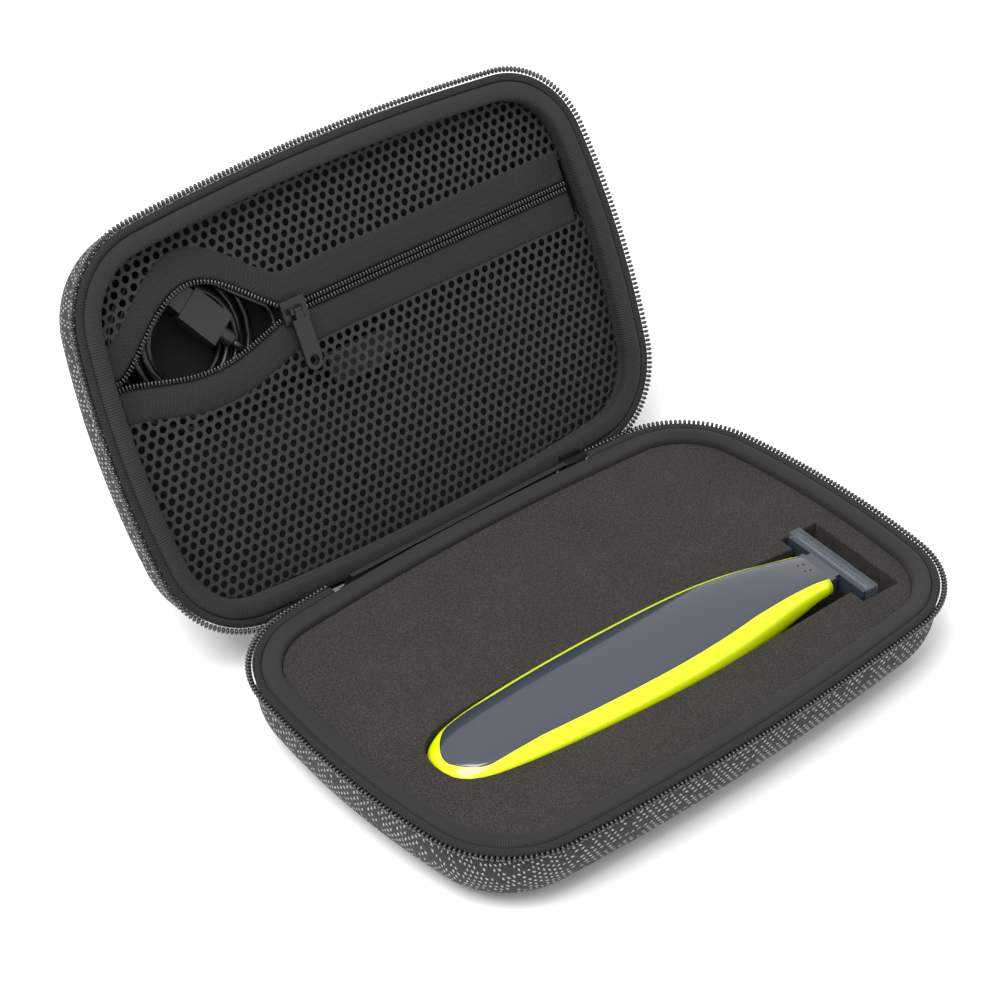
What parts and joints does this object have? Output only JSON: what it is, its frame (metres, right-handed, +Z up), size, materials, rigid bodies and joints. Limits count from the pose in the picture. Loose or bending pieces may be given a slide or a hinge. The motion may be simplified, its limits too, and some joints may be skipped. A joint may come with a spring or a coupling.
{
  "type": "electric shaver hard case",
  "caption": "Moulded zip case standing open: foam tray with a body trimmer in its cut-out, mesh zip pocket in the lid with a wound charging lead.",
  "frame": {"origin": "centre of the base's flat underside, where the case stands", "axes": "+Z up, +X along the long side, +Y towards the hinge"},
  "size_m": [0.205, 0.2179, 0.1347],
  "materials": {
    "flecked_cloth": "flecked cloth",
    "eva_foam": "eva foam",
    "lining_cloth": "lining cloth",
    "ribbed_binding": "ribbed binding",
    "zip_tape": "zip tape",
    "zip_coil": "zip coil",
    "mesh_cloth": "mesh cloth",
    "insert_foam": "insert foam",
    "zip_metal": "zip metal",
    "lead_sheath": "lead sheath",
    "connector_plastic": "connector plastic",
    "contact_metal": "contact metal",
    "lime_plastic": "lime plastic",
    "slate_plastic": "slate plastic",
    "cell_sleeve": "cell sleeve",
    "motor_steel": "motor steel",
    "board_green": "board green",
    "blade_steel": "blade steel",
    "guard_clear": "guard clear"
  },
  "bodies": {
    "base": {"base_cover": "flecked_cloth", "base_shell": "eva_foam", "base_lining": "lining_cloth", "base_binding": "ribbed_binding", "base_zip_tape": "zip_tape", "base_zip_coil": "zip_coil", "foam_floor_pad": "insert_foam", "foam_insert": "insert_foam", "spine_strip": "zip_tape", "main_slider": "zip_metal", "trimmer_front_shell": "lime_plastic", "trimmer_back_shell": "slate_plastic", "trimmer_battery": "cell_sleeve", "trimmer_motor": "motor_steel", "trimmer_board": "board_green", "trimmer_neck": "slate_plastic", "trimmer_socket": "connector_plastic"},
    "lid": {"lid_cover": "flecked_cloth", "lid_shell": "eva_foam", "lid_lining": "lining_cloth", "lid_binding": "ribbed_binding", "lid_zip_tape": "zip_tape", "lid_zip_coil": "zip_coil", "mesh_edge": "ribbed_binding", "mesh_upper": "mesh_cloth", "mesh_lower": "mesh_cloth", "pocket_tape_upper": "zip_tape", "pocket_tape_lower": "zip_tape", "pocket_coil_upper": "zip_coil", "pocket_coil_lower": "zip_coil", "lead_coil": "lead_sheath", "lead_connector": "connector_plastic", "lead_contacts": "contact_metal", "lead_plug": "connector_plastic"},
    "zip_pull": {"main_pull": "zip_metal"},
    "pocket_runner": {"pocket_slider": "zip_metal"},
    "pocket_puller": {"pocket_pull": "zip_metal"},
    "button": {"trimmer_button": "slate_plastic"},
    "blade": {"blade_frame": "slate_plastic", "blade_guard": "guard_clear"},
    "cutter": {"blade_cutter": "blade_steel"}
  },
  "joints": [
    {"name": "lid_hinge", "type": "hinge", "parent": "base", "child": "lid", "pos_m": [0, 0.0648, 0.0197], "axis": [1, 0, 0], "range_deg": [-20, 117.4], "deforming": ["spine_strip"]},
    {"name": "main_pull_swing", "type": "hinge", "parent": "base", "child": "zip_pull", "pos_m": [0.04884, 0.06971, 0.02415], "axis": [-0.9979, 0.0643, 0], "range_deg": [-8, 8]},
    {"name": "pocket_slide", "type": "slide", "parent": "lid", "child": "pocket_runner", "axis": [1, 0, 0], "range_m": [-0.056, 0.1], "deforming": ["pocket_coil_upper", "pocket_coil_lower"]},
    {"name": "pocket_pull_swing", "type": "hinge", "parent": "pocket_runner", "child": "pocket_puller", "pos_m": [-0.024, 0.11341, 0.09002], "axis": [1, 0, 0], "range_deg": [-176, 0]},
    {"name": "button_press", "type": "slide", "parent": "base", "child": "button", "axis": [0, 0, 1], "range_m": [0, 0.0008], "stiffness_N_per_m": 300},
    {"name": "blade_release", "type": "slide", "parent": "base", "child": "blade", "axis": [0.9973, -0.0732, 0], "range_m": [0, 0.0045]},
    {"name": "cutter_stroke", "type": "slide", "parent": "blade", "child": "cutter", "axis": [0.0732, 0.9973, 0], "range_m": [-0.0008, 0.0008]}
  ]
}
